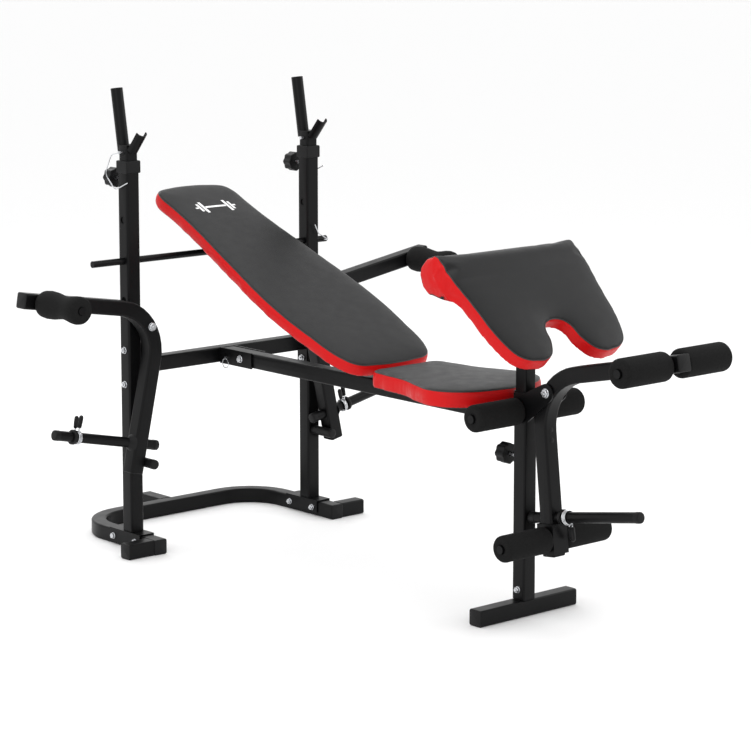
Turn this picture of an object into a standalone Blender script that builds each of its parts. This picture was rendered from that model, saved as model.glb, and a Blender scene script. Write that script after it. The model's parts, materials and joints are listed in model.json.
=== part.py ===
"""Adjustable weight bench: rack uprights, padded bench, preacher pad, leg developer and two swing arms.

Frame: metres, +Z up, X across, Y along. The rack stands at +Y and the leg developer reaches to -Y.
The origin is on the floor under the centre of the whole bench. "left" is the -X side.
"""
import math

import bmesh
import bpy
from mathutils import Matrix, Vector

# ---------------------------------------------------------------- driving dimensions (metres)
GAP = 0.0003                 # clearance kept between pieces that touch
TUBE = 0.038                 # side of the main square tube
WALL = 0.0018                # tube wall
CORNER = 0.005               # outside corner radius of a square tube
INNER_TUBE = 0.0332          # side of a tube that telescopes in the main tube
STRAP = 0.004                # bracket plate thickness

FRONT_REACH = 1.545          # from the upright's front face to the end of the curl tube
REAR_REACH = 0.353           # from the upright's front face to the end of the rear foot
RACK_Y = (FRONT_REACH - REAR_REACH) / 2      # world Y of the upright's front face

UPRIGHT_X = 0.2846           # centre of an upright
UPRIGHT_TOP = 0.956
ROD_RADIUS = 0.0083
ROD_Y = TUBE / 2
ROD_HOLES_Z = (0.620, 0.7163, 0.817)
ROD_Z = ROD_HOLES_Z[1]
CATCH_KNOB_Z = 0.916
CATCH_TOP = 1.000
CATCH_BOTTOM = 0.735
PIN_HOLES_Z = (0.982, 0.932, 0.882, 0.832, 0.782)
HORN_RADIUS = 0.0148

FOOT_FRONT = -0.0917         # front face of the rack feet, from the upright's front face
BASE_BACK = 0.246            # centre of the base's rear bar
BASE_BEND = 0.118
FOOT_END_X = 0.3754

RAIL_Z = 0.4545              # centre of the bench rail and the crossbar
POST_FRONT = -1.0898         # front face of the front post
POST_Y = POST_FRONT + TUBE / 2
POST_TOP = 0.514
POST_KNOB_Z = 0.363
FRONT_FOOT_HALF = 0.149

BACK_ANGLE = math.radians(23.6)
BACK_EDGE = Vector((-0.640, 0.5228))         # (y, z) of the backrest's top seam at its lower end
BACK_PAD = 0.0365
BACK_LENGTH = 0.860
HINGE = Vector((-0.618, 0.484))              # (y, z) of the backrest hinge
SEAT_TOP = 0.518
SEAT_BOTTOM = 0.4745

PREACHER_ANGLE = math.radians(43.3)
PREACHER_MID = Vector((-1.100, 0.7417))      # (y, z) of a point in the middle of the pad's top
PREACHER_PAD = 0.038
PREACHER_ROLL = 0.0435
PREACHER_ROLL_AT = (0.104, -0.0435)           # (along, normal) of the rolled edge's axis

LEG_LEAN = math.radians(6.4)
LEG_CORNER = Vector((-1.1215, 0.5475))       # (y, z) where the leg tube's two straights would meet
LEG_BOTTOM_Z = 0.156
LEG_BEND = 0.13
CURL_RISE = math.radians(12.3)
LEG_PIVOT = Vector((-1.1575, 0.5225))
LOWER_AXLE = Vector((-1.1630, 0.1940))
CURL_AXLE = Vector((-1.5060, 0.6300))
AXLE_RADIUS = 0.0095
PEG_RADIUS = 0.0125
LEG_PEG_AT = Vector((-1.1560, 0.2395))
LEG_PEG_RISE = math.radians(10.0)
LEG_PEG_TIP = 0.273

ARM_Y = -0.033               # centre plane of the swing arms
ARM_PIVOT = Vector((0.2725, 0.560))          # (x, z)
ARM_LEAN = math.radians(12.3)
ARM_RISE = math.radians(9.4)
ARM_CORNER = Vector((0.2366, 0.5933))
ARM_BEND = 0.114
ARM_END_X = 0.636
ARM_BOTTOM_Z = 0.203
ARM_PEG_AT = Vector((0.3055, 0.2720))
ARM_PEG_INNER = 0.057
ARM_PEG_OUTER = 0.252
GRIP_X = 0.585
GRIP_Z = 0.6490
GRIP_START = ARM_Y - TUBE / 2 - 0.003
GRIP_LENGTH = 0.148

# planes for flat work: the columns are the world directions of a sketch's x, y and normal
FLOOR_PLANE = Matrix.Identity(3)
SIDE_PLANE = Matrix(((0, 0, 1), (1, 0, 0), (0, 1, 0)))
FRONT_PLANE = Matrix(((1, 0, 0), (0, 0, -1), (0, 1, 0)))
SIDES = (("left", -1), ("right", 1))


# ---------------------------------------------------------------- scene and materials
for old in list(bpy.data.objects):
    bpy.data.objects.remove(old, do_unlink=True)


def new_collection(name):
    group = bpy.data.collections.new(name)
    bpy.context.scene.collection.children.link(group)
    return group


PARTS = new_collection("weight_bench")
CUTTERS = new_collection("cutters")


def material(name, colour, roughness, metallic=0.0):
    made = bpy.data.materials.new(name)
    made.use_nodes = True
    shader = made.node_tree.nodes["Principled BSDF"]
    shader.inputs["Base Color"].default_value = (*colour, 1.0)
    shader.inputs["Roughness"].default_value = roughness
    shader.inputs["Metallic"].default_value = metallic
    return made


STEEL = material("black_steel", (0.012, 0.012, 0.013), 0.38)
ZINC = material("zinc", (0.62, 0.63, 0.65), 0.30, 1.0)
PLASTIC = material("black_plastic", (0.016, 0.016, 0.017), 0.55)
FOAM = material("foam", (0.018, 0.018, 0.018), 0.85)
VINYL = material("black_vinyl", (0.030, 0.030, 0.032), 0.42)


# ---------------------------------------------------------------- helpers
def world(y_from_rack, z=None):
    """World position on the centre plane, from a distance in front of (-) or behind (+) the rack."""
    if z is None:
        y_from_rack, z = y_from_rack
    return Vector((0.0, RACK_Y + y_from_rack, z))


def place(obj, plane=FLOOR_PLANE, origin=(0, 0, 0)):
    obj.matrix_world = Matrix.Translation(Vector(origin)) @ plane.to_4x4()
    return obj


def link(obj, group=None):
    (group or PARTS).objects.link(obj)
    return obj


def named(obj, name, look):
    obj.name = name
    obj.data.materials.clear()
    obj.data.materials.append(look)
    obj.data.shade_smooth()
    obj.data.set_sharp_from_angle(angle=math.radians(35))
    return obj


def new_mesh_object(name, build):
    """An object whose mesh is filled by build(bm)."""
    mesh = bpy.data.meshes.new(name)
    bm = bmesh.new()
    build(bm)
    bm.to_mesh(mesh)
    bm.free()
    return link(bpy.data.objects.new(name, mesh))


def box(low, high, name="box", edge=0.0):
    """An axis-aligned box, with its edges rounded when edge is given."""
    low, high = Vector(low), Vector(high)

    def build(bm):
        bmesh.ops.create_cube(bm, size=1.0)
        bmesh.ops.scale(bm, vec=high - low, verts=bm.verts)

    made = new_mesh_object(name, build)
    made.location = (low + high) / 2
    if edge:
        bevel = made.modifiers.new("edges", "BEVEL")
        bevel.width = edge
        bevel.segments = 2
    return made


def cylinder(start, end, radius, name="cylinder", sides=20):
    """A round bar between two points."""
    start, end = Vector(start), Vector(end)

    def build(bm):
        bmesh.ops.create_cone(bm, cap_ends=True, segments=sides, radius1=radius, radius2=radius,
                              depth=(end - start).length)

    made = new_mesh_object(name, build)
    made.rotation_mode = "QUATERNION"
    made.rotation_quaternion = (end - start).to_track_quat("Z", "Y")
    made.location = (start + end) / 2
    return made


def curve_object(name, points, cyclic=False, flat=True):
    data = bpy.data.curves.new(name, "CURVE")
    data.dimensions = "2D" if flat else "3D"
    spline = data.splines.new("POLY")
    spline.points.add(len(points) - 1)
    for slot, point in zip(spline.points, points):
        slot.co = (*point, *([0.0] * (3 - len(point))), 1.0)
    spline.use_cyclic_u = cyclic
    return link(bpy.data.objects.new(name, data))


def as_mesh(obj):
    """The evaluated object as a mesh object in the same place, with its caps welded."""
    bpy.context.view_layer.update()
    name, matrix = obj.name, obj.matrix_world.copy()
    mesh = bpy.data.meshes.new_from_object(obj.evaluated_get(bpy.context.evaluated_depsgraph_get()))
    bm = bmesh.new()
    bm.from_mesh(mesh)
    bmesh.ops.remove_doubles(bm, verts=bm.verts, dist=0.00002)
    bmesh.ops.recalc_face_normals(bm, faces=bm.faces)
    bm.to_mesh(mesh)
    bm.free()
    bpy.data.objects.remove(obj)
    made = link(bpy.data.objects.new(name, mesh))
    made.matrix_world = matrix
    return made


def arc(centre, radius, start, end, steps):
    """Points on an arc, with angles in degrees."""
    angles = [math.radians(start + (end - start) * i / steps) for i in range(steps + 1)]
    return [(centre[0] + radius * math.cos(a), centre[1] + radius * math.sin(a)) for a in angles]


def fillet(points, radius, steps=9):
    """A polyline with its inner corners rounded."""
    path = [Vector(points[0])]
    for before, corner, after in zip(points, points[1:], points[2:]):
        corner = Vector(corner)
        back = (Vector(before) - corner).normalized()
        ahead = (Vector(after) - corner).normalized()
        half = back.angle(ahead) / 2
        centre = corner + (back + ahead).normalized() * radius / math.sin(half)
        first = corner + back * radius / math.tan(half) - centre
        last = corner + ahead * radius / math.tan(half) - centre
        turn = first.angle_signed(last)
        for i in range(steps + 1):
            swing = -turn * i / steps
            path.append(centre + Matrix.Rotation(swing, 2) @ first)
    path.append(Vector(points[-1]))
    return path


def square_profile(side, corner):
    half = side / 2 - corner
    points = []
    for cx, cy, start in ((half, half, 0), (-half, half, 90), (-half, -half, 180), (half, -half, 270)):
        points += arc((cx, cy), corner, start, start + 90, 3)
    profile = curve_object("profile", points, cyclic=True)
    CUTTERS.objects.link(profile)
    PARTS.objects.unlink(profile)
    profile.hide_render = True
    profile.display_type = "WIRE"
    return profile


PROFILES = {side: square_profile(side, CORNER * side / TUBE) for side in (TUBE, INNER_TUBE)}


def square_tube(points, plane=FLOOR_PLANE, origin=(0, 0, 0), side=TUBE, name="tube"):
    """A hollow square tube, open at both ends, along a flat path."""
    path = curve_object(name, points)
    path.data.bevel_mode = "OBJECT"
    path.data.bevel_object = PROFILES[side]
    place(path, plane, origin)
    made = as_mesh(path)
    made.modifiers.new("wall", "SOLIDIFY").thickness = WALL
    made.modifiers["wall"].offset = -1.0
    made.modifiers["wall"].use_even_offset = True
    return as_mesh(made)


def plate(outline, thickness, plane=FLOOR_PLANE, origin=(0, 0, 0), name="plate"):
    """A flat plate of the given outline, centred on its plane."""
    sheet = curve_object(name, outline, cyclic=True)
    sheet.data.fill_mode = "BOTH"
    sheet.data.extrude = thickness / 2
    place(sheet, plane, origin)
    return as_mesh(sheet)


def soft_plate(outline, thickness, plane, origin, edge, name="pad"):
    """A pad body: a smooth closed outline through a few points, extruded, with rounded edges."""
    sheet = curve_object(name, outline, cyclic=True)
    spline = sheet.data.splines.new("BEZIER")
    spline.bezier_points.add(len(outline) - 1)
    for slot, point in zip(spline.bezier_points, outline):
        slot.co = (*point, 0.0)
        slot.handle_left_type = slot.handle_right_type = "AUTO"
    spline.use_cyclic_u = True
    spline.resolution_u = 4
    sheet.data.splines.remove(sheet.data.splines[0])
    sheet.data.fill_mode = "BOTH"
    sheet.data.extrude = thickness / 2
    place(sheet, plane, origin)
    made = as_mesh(sheet)
    bevel = made.modifiers.new("edges", "BEVEL")
    bevel.width = edge
    bevel.segments = 2
    bevel.limit_method = "ANGLE"
    bevel.angle_limit = math.radians(60)
    return as_mesh(made)


def mirrored(half_outline):
    """A whole outline from the points of its right half, listed bottom to top."""
    return list(half_outline) + [(-x, y) for x, y in reversed(half_outline) if abs(x) > 1e-6]


def turned(profile, start, direction, sides=24, name="turned"):
    """A turned piece. The profile is (radius, distance along the axis) and runs down its outer side."""
    def build(bm):
        verts = [bm.verts.new((radius, 0.0, along)) for radius, along in profile]
        for a, b in zip(verts, verts[1:]):
            bm.edges.new((a, b))

    made = new_mesh_object(name, build)
    screw = made.modifiers.new("turn", "SCREW")
    screw.steps = screw.render_steps = sides
    screw.use_merge_vertices = True
    screw.merge_threshold = 0.00005
    made.rotation_mode = "QUATERNION"
    made.rotation_quaternion = Vector(direction).to_track_quat("Z", "Y")
    made.location = start
    return as_mesh(made)


def wire(points, radius, name="wire"):
    """A bent wire along 3-D points."""
    made = curve_object(name, points, flat=False)
    made.data.bevel_depth = radius
    made.data.bevel_resolution = 1
    made.data.use_fill_caps = True
    return as_mesh(made)


def boolean(target, tool, operation):
    step = target.modifiers.new(operation.lower(), "BOOLEAN")
    step.object = tool
    step.operation = operation
    step.solver = "EXACT"
    CUTTERS.objects.link(tool)
    PARTS.objects.unlink(tool)
    tool.hide_render = True
    tool.display_type = "WIRE"
    return target


def cut(target, *tools):
    for tool in tools:
        boolean(target, tool, "DIFFERENCE")
    return target


def weld(target, *tools):
    for tool in tools:
        boolean(target, tool, "UNION")
    return target


def joint_empty(name, location, *pieces):
    """An empty on a joint's axis that carries the pieces that move with the joint."""
    pivot = link(bpy.data.objects.new(name, None))
    pivot.location = location
    bpy.context.view_layer.update()
    for piece in pieces:
        piece.parent = pivot
        piece.matrix_parent_inverse = pivot.matrix_world.inverted()
    return pivot


# ---------------------------------------------------------------- rack
def base():
    """The floor frame: a U-shaped tube under the uprights, two outrigger feet and a rear foot."""
    half, z = TUBE / 2, TUBE / 2
    front, back = RACK_Y + FOOT_FRONT, RACK_Y + BASE_BACK
    corners = [(-UPRIGHT_X, front), (-UPRIGHT_X, back), (UPRIGHT_X, back), (UPRIGHT_X, front)]
    named(square_tube(fillet(corners, BASE_BEND), origin=(0, 0, z)), "base_u_tube", STEEL)
    foot_y = front + half
    for side, sign in SIDES:
        ends = [(sign * (UPRIGHT_X + half + GAP), foot_y), (sign * FOOT_END_X, foot_y)]
        named(square_tube(ends, origin=(0, 0, z)), f"{side}_foot_bar", STEEL)
    rear = [(0, back + half + GAP), (0, RACK_Y + REAR_REACH)]
    named(square_tube(rear, origin=(0, 0, z)), "rear_foot_bar", STEEL)


def saddles():
    """Channels that straddle the base tube and carry the uprights."""
    skirt, lip = 0.003, 0.010
    inside = TUBE / 2 + GAP
    for side, sign in SIDES:
        x = sign * UPRIGHT_X
        low_y, high_y = RACK_Y - 0.036, RACK_Y + 0.088
        body = box((x - inside - skirt, low_y, lip), (x + inside + skirt, high_y, TUBE + GAP + skirt))
        cut(body, box((x - inside, low_y - lip, -lip), (x + inside, high_y + lip, TUBE + GAP)))
        named(body, f"{side}_saddle", STEEL)


def uprights():
    """Hollow uprights with holes for the backrest rod and the clamping knob."""
    bottom = TUBE + 2 * GAP + 0.003
    for side, sign in SIDES:
        x = sign * UPRIGHT_X
        middle = Vector((x, RACK_Y + TUBE / 2, 0))
        post = square_tube([(x, bottom), (x, UPRIGHT_TOP)], FRONT_PLANE, (0, middle.y, 0))
        reach = Vector((TUBE, 0, 0))
        for height in ROD_HOLES_Z:
            hole = middle + Vector((0, 0, height))
            cut(post, cylinder(hole - reach, hole + reach, ROD_RADIUS + 0.0005))
        knob = middle + Vector((0, 0, CATCH_KNOB_Z))
        cut(post, cylinder(knob, knob + Vector((0, TUBE, 0)), 0.0054))
        named(post, f"{side}_upright", STEEL)
        outside = Vector((0.0218, 0.0218, 0))
        collar = box(middle - outside + Vector((0, 0, 0.931)), middle + outside + Vector((0, 0, 0.962)),
                     edge=0.003)
        skirt, mouth = TUBE / 2 + GAP, INNER_TUBE / 2 + GAP
        cut(collar,
            box(middle + Vector((-skirt, -skirt, 0.9)), middle + Vector((skirt, skirt, UPRIGHT_TOP + GAP))),
            box(middle + Vector((-mouth, -mouth, 0.9)), middle + Vector((mouth, mouth, 1.0))))
        named(collar, f"{side}_upright_collar", PLASTIC)


def crossbar():
    """The bar between the uprights, with a bolting plate at each end."""
    inner = UPRIGHT_X - TUBE / 2 - GAP
    y = RACK_Y + TUBE / 2
    ends = [(-inner + 0.002, RAIL_Z), (inner - 0.002, RAIL_Z)]
    bar = square_tube(ends, FRONT_PLANE, (0, y, 0))
    for _, sign in SIDES:
        low_x, high_x = sorted((sign * inner, sign * (inner - STRAP)))
        weld(bar, box((low_x, y - 0.0185, RAIL_Z - 0.059), (high_x, y + 0.0185, RAIL_Z + 0.059)))
    cut(bar, cylinder((-inner - 0.01, y, RAIL_Z), (inner + 0.01, y, RAIL_Z), 0.006, sides=12))
    named(bar, "crossbar", STEEL)


def rod_and_clip():
    """The backrest's support rod through both uprights, and the spring clip in its right end."""
    y, z = RACK_Y + ROD_Y, ROD_Z
    clip_x = UPRIGHT_X + TUBE / 2 + 0.024
    rod = cylinder((-0.396, y, z), (clip_x + 0.014, y, z), ROD_RADIUS)
    cut(rod, cylinder((clip_x, y - 0.02, z), (clip_x, y + 0.02, z), 0.0019, sides=12))
    named(rod, "support_rod", STEEL)
    front = RACK_Y - 0.010
    path = [(clip_x, y + 0.020, z), (clip_x, front + 0.004, z), (clip_x - 0.003, front, z + 0.002),
            (clip_x - 0.034, front, z + 0.020), (clip_x - 0.046, front, z + 0.044)]
    clip = named(wire(path, 0.0014), "rod_clip", ZINC)
    joint_empty("support_rod_axis", (0, y, z), rod, clip)


def lobed(radius, lobes, depth, steps):
    turns = [2 * math.pi * i / steps for i in range(steps)]
    return [((radius - depth + depth * math.cos(lobes * a)) * math.cos(a),
             (radius - depth + depth * math.cos(lobes * a)) * math.sin(a)) for a in turns]


def knob(name, x, face_y, tip_y, z):
    """A clamping knob: a lobed grip on a screw that runs along Y into the tube."""
    grip_near, grip_far = face_y + 0.028, face_y + 0.054
    grip = plate(lobed(0.0246, 8, 0.0014, 48), grip_far - grip_near, FRONT_PLANE,
                 (x, (grip_near + grip_far) / 2, z))
    bevel = grip.modifiers.new("edges", "BEVEL")
    bevel.width = 0.003
    bevel.segments = 1
    bevel.limit_method = "ANGLE"
    grip = as_mesh(grip)
    weld(grip, cylinder((x, tip_y, z), (x, grip_near + 0.004, z), 0.005, sides=16))
    named(grip, name, PLASTIC)
    joint_empty(f"{name}_axis", (x, face_y, z), grip)


def catches():
    """Bar catches that telescope in the uprights, their hitch pins and clamping knobs."""
    y = RACK_Y + TUBE / 2
    for side, sign in SIDES:
        x = sign * UPRIGHT_X
        tube = square_tube([(x, CATCH_BOTTOM), (x, CATCH_TOP - 0.002)], FRONT_PLANE, (0, y, 0), INNER_TUBE)
        half = INNER_TUBE / 2
        weld(tube, box((x - half, y - half, CATCH_TOP - 0.003), (x + half, y + half, CATCH_TOP)))
        foot = Vector((x, y + 0.0180, CATCH_TOP - 0.016))
        tip = Vector((x, y + 0.0440, 1.1345))
        weld(tube, cylinder(foot, tip, HORN_RADIUS))
        lean = Vector((0, -math.sin(math.radians(41)), math.cos(math.radians(41))))
        across = Vector((1, 0, 0))
        cup = Matrix((across, lean.cross(across), lean)).transposed()
        ring = arc((0, 0), HORN_RADIUS, 0, 180, 10) + arc((0, 0), HORN_RADIUS - 0.003, 180, 0, 10)
        start = Vector((x, y - 0.0225, CATCH_TOP - 0.004))
        lip = plate([(a, -b) for a, b in ring], 0.058, cup, start + lean * 0.020)
        weld(tube, lip)
        pin_z = PIN_HOLES_Z[0]
        reach = Vector((TUBE, 0, 0))
        for height in PIN_HOLES_Z:
            hole = Vector((x, y, height))
            cut(tube, cylinder(hole - reach, hole + reach, 0.0045, sides=16))
        named(tube, f"{side}_catch", STEEL)

        outer_x = x + sign * 0.0283
        pin = cylinder((x - sign * 0.026, y, pin_z), (outer_x, y, pin_z), 0.0040, sides=14)
        loop_x = outer_x - sign * 0.002
        drop = fillet([(0.0, 0.0), (0.034, -0.008), (0.060, -0.056), (0.020, -0.093), (-0.030, -0.072)],
                      0.018, 5)
        loop = [(loop_x, y + a, pin_z + b) for a, b in drop]
        weld(pin, wire(loop, 0.0014))
        named(pin, f"{side}_hitch_pin", ZINC)
        joint_empty(f"{side}_catch_axis", (x, y, pin_z), tube, pin)
        knob(f"{side}_catch_knob", x, RACK_Y + TUBE, y + half + GAP, CATCH_KNOB_Z)


# ---------------------------------------------------------------- bench
def bench_frame():
    """The rail in its bracket on the crossbar, and the front post on its foot."""
    side_x = TUBE / 2 + GAP
    face = RACK_Y - GAP
    bracket = box((-side_x - STRAP, face - 0.125, RAIL_Z - 0.020), (side_x + STRAP, face, RAIL_Z + 0.020))
    cut(bracket, box((-side_x, face - 0.2, RAIL_Z - 0.05), (side_x, face - STRAP, RAIL_Z + 0.05)))
    rail_start, rail_end = RACK_Y - 0.0060, RACK_Y + POST_FRONT + TUBE + GAP
    rail = square_tube([(rail_start, RAIL_Z), (rail_end, RAIL_Z)], SIDE_PLANE)
    bolt_at = RACK_Y - 0.082
    pin_at = RACK_Y - 0.028
    for piece in (bracket, rail):
        cut(piece, cylinder((-0.04, bolt_at, RAIL_Z), (0.04, bolt_at, RAIL_Z), 0.0053, sides=16),
            cylinder((-0.04, pin_at, RAIL_Z - 0.004), (0.04, pin_at, RAIL_Z - 0.004), 0.0043, sides=16))
    named(bracket, "rail_bracket", STEEL)
    named(rail, "bench_rail", STEEL)
    named(bolt((0, bolt_at, RAIL_Z), (-1, 0, 0), side_x + STRAP), "rail_bolt", ZINC)

    pin_end = side_x + STRAP + 0.006
    pin = cylinder((-pin_end, pin_at, RAIL_Z - 0.004), (pin_end, pin_at, RAIL_Z - 0.004), 0.0038, sides=14)
    ring_x = -side_x - STRAP - 0.004
    ring = [(ring_x, pin_at + a, RAIL_Z - 0.017 + b) for a, b in arc((0, 0), 0.012, 90, 430, 14)]
    weld(pin, wire(ring, 0.0012))
    named(pin, "ring_pin", ZINC)
    joint_empty("ring_pin_axis", (0, pin_at, RAIL_Z), pin)

    post_y = RACK_Y + POST_Y
    post = square_tube([(post_y, TUBE + GAP), (post_y, POST_TOP)], SIDE_PLANE)
    cut(post, cylinder((0, post_y, POST_KNOB_Z), (0, post_y + TUBE, POST_KNOB_Z), 0.0054, sides=16))
    named(post, "front_post", STEEL)
    foot = square_tube([(-FRONT_FOOT_HALF, post_y), (FRONT_FOOT_HALF, post_y)], origin=(0, 0, TUBE / 2))
    named(foot, "front_foot_bar", STEEL)
    knob("post_knob", 0, post_y + TUBE / 2, post_y + INNER_TUBE / 2 + GAP, POST_KNOB_Z)


def bolt(middle, direction, grip, shank=0.005, head=0.0090):
    """A bolt with its head at +direction and its nut at the other end; grip is half the clamped width."""
    face = grip + GAP
    profile = [(0, face + 0.0062), (head * 0.9, face + 0.0062), (head, face + 0.0050), (head, face),
               (shank, face), (shank, -face), (head, -face), (head, -face - 0.0070), (0, -face - 0.0070)]
    return turned(profile, middle, direction, sides=16)


def sketch_on(angle, edge):
    """Plane and origin of a sloping pad: sketch x is world X, sketch y runs up the slope."""
    along = Vector((0, math.cos(angle), math.sin(angle)))
    across = Vector((1, 0, 0))
    return Matrix((across, along, across.cross(along))).transposed(), world(edge)


def backrest():
    """The reclining backrest: pad, spine with cross plates, hinge bracket on the rail and hinge bolt."""
    plane, edge = sketch_on(BACK_ANGLE, BACK_EDGE)
    normal = plane.col[2]
    half = [(0.062, 0.002), (0.108, 0.012), (0.129, 0.040), (0.149, 0.150), (0.1565, 0.290), (0.138, 0.500),
            (0.120, 0.670), (0.1155, 0.770), (0.1155, 0.822), (0.104, 0.850), (0.078, BACK_LENGTH)]
    pad = soft_plate(mirrored(half), BACK_PAD, plane, edge - normal * BACK_PAD / 2, 0.006)
    named(pad, "backrest_pad", VINYL)

    sheet, top = 0.003, -BACK_PAD - GAP
    spine_n = top - sheet - TUBE / 2
    along = plane.col[1]
    start, end = 0.064, 0.740
    place_at = edge + normal * spine_n
    spine = square_tube([(0, start), (0, end)], plane, place_at)
    for centre in (0.13, 0.42, 0.69):
        near, far = centre - 0.02, centre + 0.02
        cross = plate([(-0.085, near), (0.085, near), (0.085, far), (-0.085, far)], sheet + 0.0004, plane,
                      edge + normal * (top - sheet / 2 - 0.0002))
        weld(spine, cross)
    pin = world(HINGE)
    local = plane.transposed() @ (pin - edge)
    ear = 0.0068
    strap_outline = (arc((local.y, local.z), ear, 90, 270, 8)
                     + [(local.y + 0.10, spine_n - 0.008), (local.y + 0.115, spine_n + 0.012),
                        (local.y + 0.05, top - sheet - 0.001)])
    strap_plane = Matrix((along, normal, Vector((1, 0, 0)))).transposed()
    for _, sign in SIDES:
        strap_x = sign * (TUBE / 2 + STRAP / 2 - 0.0002)
        weld(spine, plate(strap_outline, STRAP, strap_plane, edge + Vector((strap_x, 0, 0))))
    cut(spine, cylinder(pin - Vector((0.05, 0, 0)), pin + Vector((0.05, 0, 0)), 0.0042, sides=16))
    named(spine, "backrest_frame", STEEL)

    ear_x = TUBE / 2 + STRAP + 0.0006
    low = RAIL_Z + TUBE / 2 + GAP
    bracket = box((-ear_x - 0.003, pin.y - 0.014, low), (ear_x + 0.003, pin.y + 0.022, low + 0.0018))
    for _, sign in SIDES:
        outline = [(pin.y - 0.0100, low), (pin.y + 0.0100, low)] + arc((pin.y, pin.z), 0.0070, 10, 170, 8)
        weld(bracket, plate(outline, 0.003, SIDE_PLANE, (sign * (ear_x + 0.0015), 0, 0)))
    cut(bracket, cylinder(pin - Vector((0.05, 0, 0)), pin + Vector((0.05, 0, 0)), 0.0042, sides=16))
    named(bracket, "backrest_hinge_bracket", STEEL)
    named(bolt(pin, (-1, 0, 0), ear_x + 0.003, 0.0039, 0.0070), "backrest_hinge_bolt", ZINC)
    joint_empty("backrest_axis", pin, bpy.data.objects["backrest_pad"], spine)


def seat():
    """The seat pad on the rail: narrow at the backrest, flared towards the front."""
    half = [(0.060, -1.022), (0.130, -0.985), (0.157, -0.930), (0.142, -0.865), (0.119, -0.800),
            (0.109, -0.720), (0.096, -0.672), (0.040, -0.667)]
    outline = [(x, RACK_Y + y) for x, y in mirrored(half)]
    middle = (SEAT_TOP + SEAT_BOTTOM) / 2
    pad = soft_plate(outline, SEAT_TOP - SEAT_BOTTOM, FLOOR_PLANE, (0, 0, middle), 0.006)
    named(pad, "seat_pad", VINYL)


def preacher():
    """The arm-curl pad on its telescoping post."""
    plane, middle = sketch_on(PREACHER_ANGLE, PREACHER_MID)
    normal = plane.col[2]
    half = [(0.000, -0.078), (0.033, -0.090), (0.050, -0.143), (0.077, -0.174), (0.115, -0.178),
            (0.157, -0.163), (0.178, -0.125), (0.197, 0.000), (0.209, 0.085), (0.209, 0.103), (0.100, 0.105)]
    pad = soft_plate(mirrored(half), PREACHER_PAD, plane, middle - normal * PREACHER_PAD / 2, 0.005)
    along, depth = PREACHER_ROLL_AT
    roll = middle + plane.col[1] * along + normal * depth
    weld(pad, cylinder(roll - Vector((0.2125, 0, 0)), roll + Vector((0.2125, 0, 0)), PREACHER_ROLL, sides=28))
    named(pad, "preacher_pad", VINYL)

    sheet = 0.003
    under = -PREACHER_PAD - GAP
    seat_plate = plate([(-0.055, -0.060), (0.055, -0.060), (0.055, 0.046), (-0.055, 0.046)], sheet, plane,
                       middle + normal * (under - sheet / 2))
    post_y = RACK_Y + POST_Y
    post = square_tube([(post_y, 0.245), (post_y, 0.800)], SIDE_PLANE, side=INNER_TUBE)
    above = plate([(-0.1, -0.2), (0.1, -0.2), (0.1, 0.3), (-0.1, 0.3)], 0.2, plane,
                  middle + normal * (under - 0.0015 + 0.1))
    weld(cut(post, above), seat_plate)
    named(post, "preacher_post", STEEL)
    joint_empty("preacher_axis", (0, post_y, POST_TOP), pad, post)


# ---------------------------------------------------------------- rollers
def roller(name, axle, start, end, radius, sign):
    """A foam roller on an axle along X, with rounded ends."""
    bore, soft = AXLE_RADIUS + 0.0006, 0.012
    length = end - start
    nose = [(radius - soft + a, b) for a, b in arc((0, 0), soft, 90, 0, 3)]
    profile = [(bore, length)] + [(r, length - soft + b) for r, b in nose]
    profile += [(r, soft - b) for r, b in reversed(nose)] + [(bore, 0.0), (bore, length)]
    made = turned(profile, axle + Vector((sign * start, 0, 0)), (sign, 0, 0), sides=20)
    named(made, name, FOAM)
    joint_empty(f"{name}_axis", axle, made)
    return made


def post_rollers():
    """The knee rollers on stub axles welded to the front post."""
    axle = world(POST_Y, 0.4700)
    start, end = TUBE / 2 + STRAP + 0.0010, 0.1640
    for side, sign in SIDES:
        offset = Vector((sign, 0, 0))
        inner = TUBE / 2 + STRAP + 2 * GAP
        named(cylinder(axle + offset * inner, axle + offset * 0.1680, AXLE_RADIUS, sides=16),
              f"{side}_post_axle", STEEL)
        roller(f"{side}_post_roller", axle, start, end, 0.0308, sign)


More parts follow.
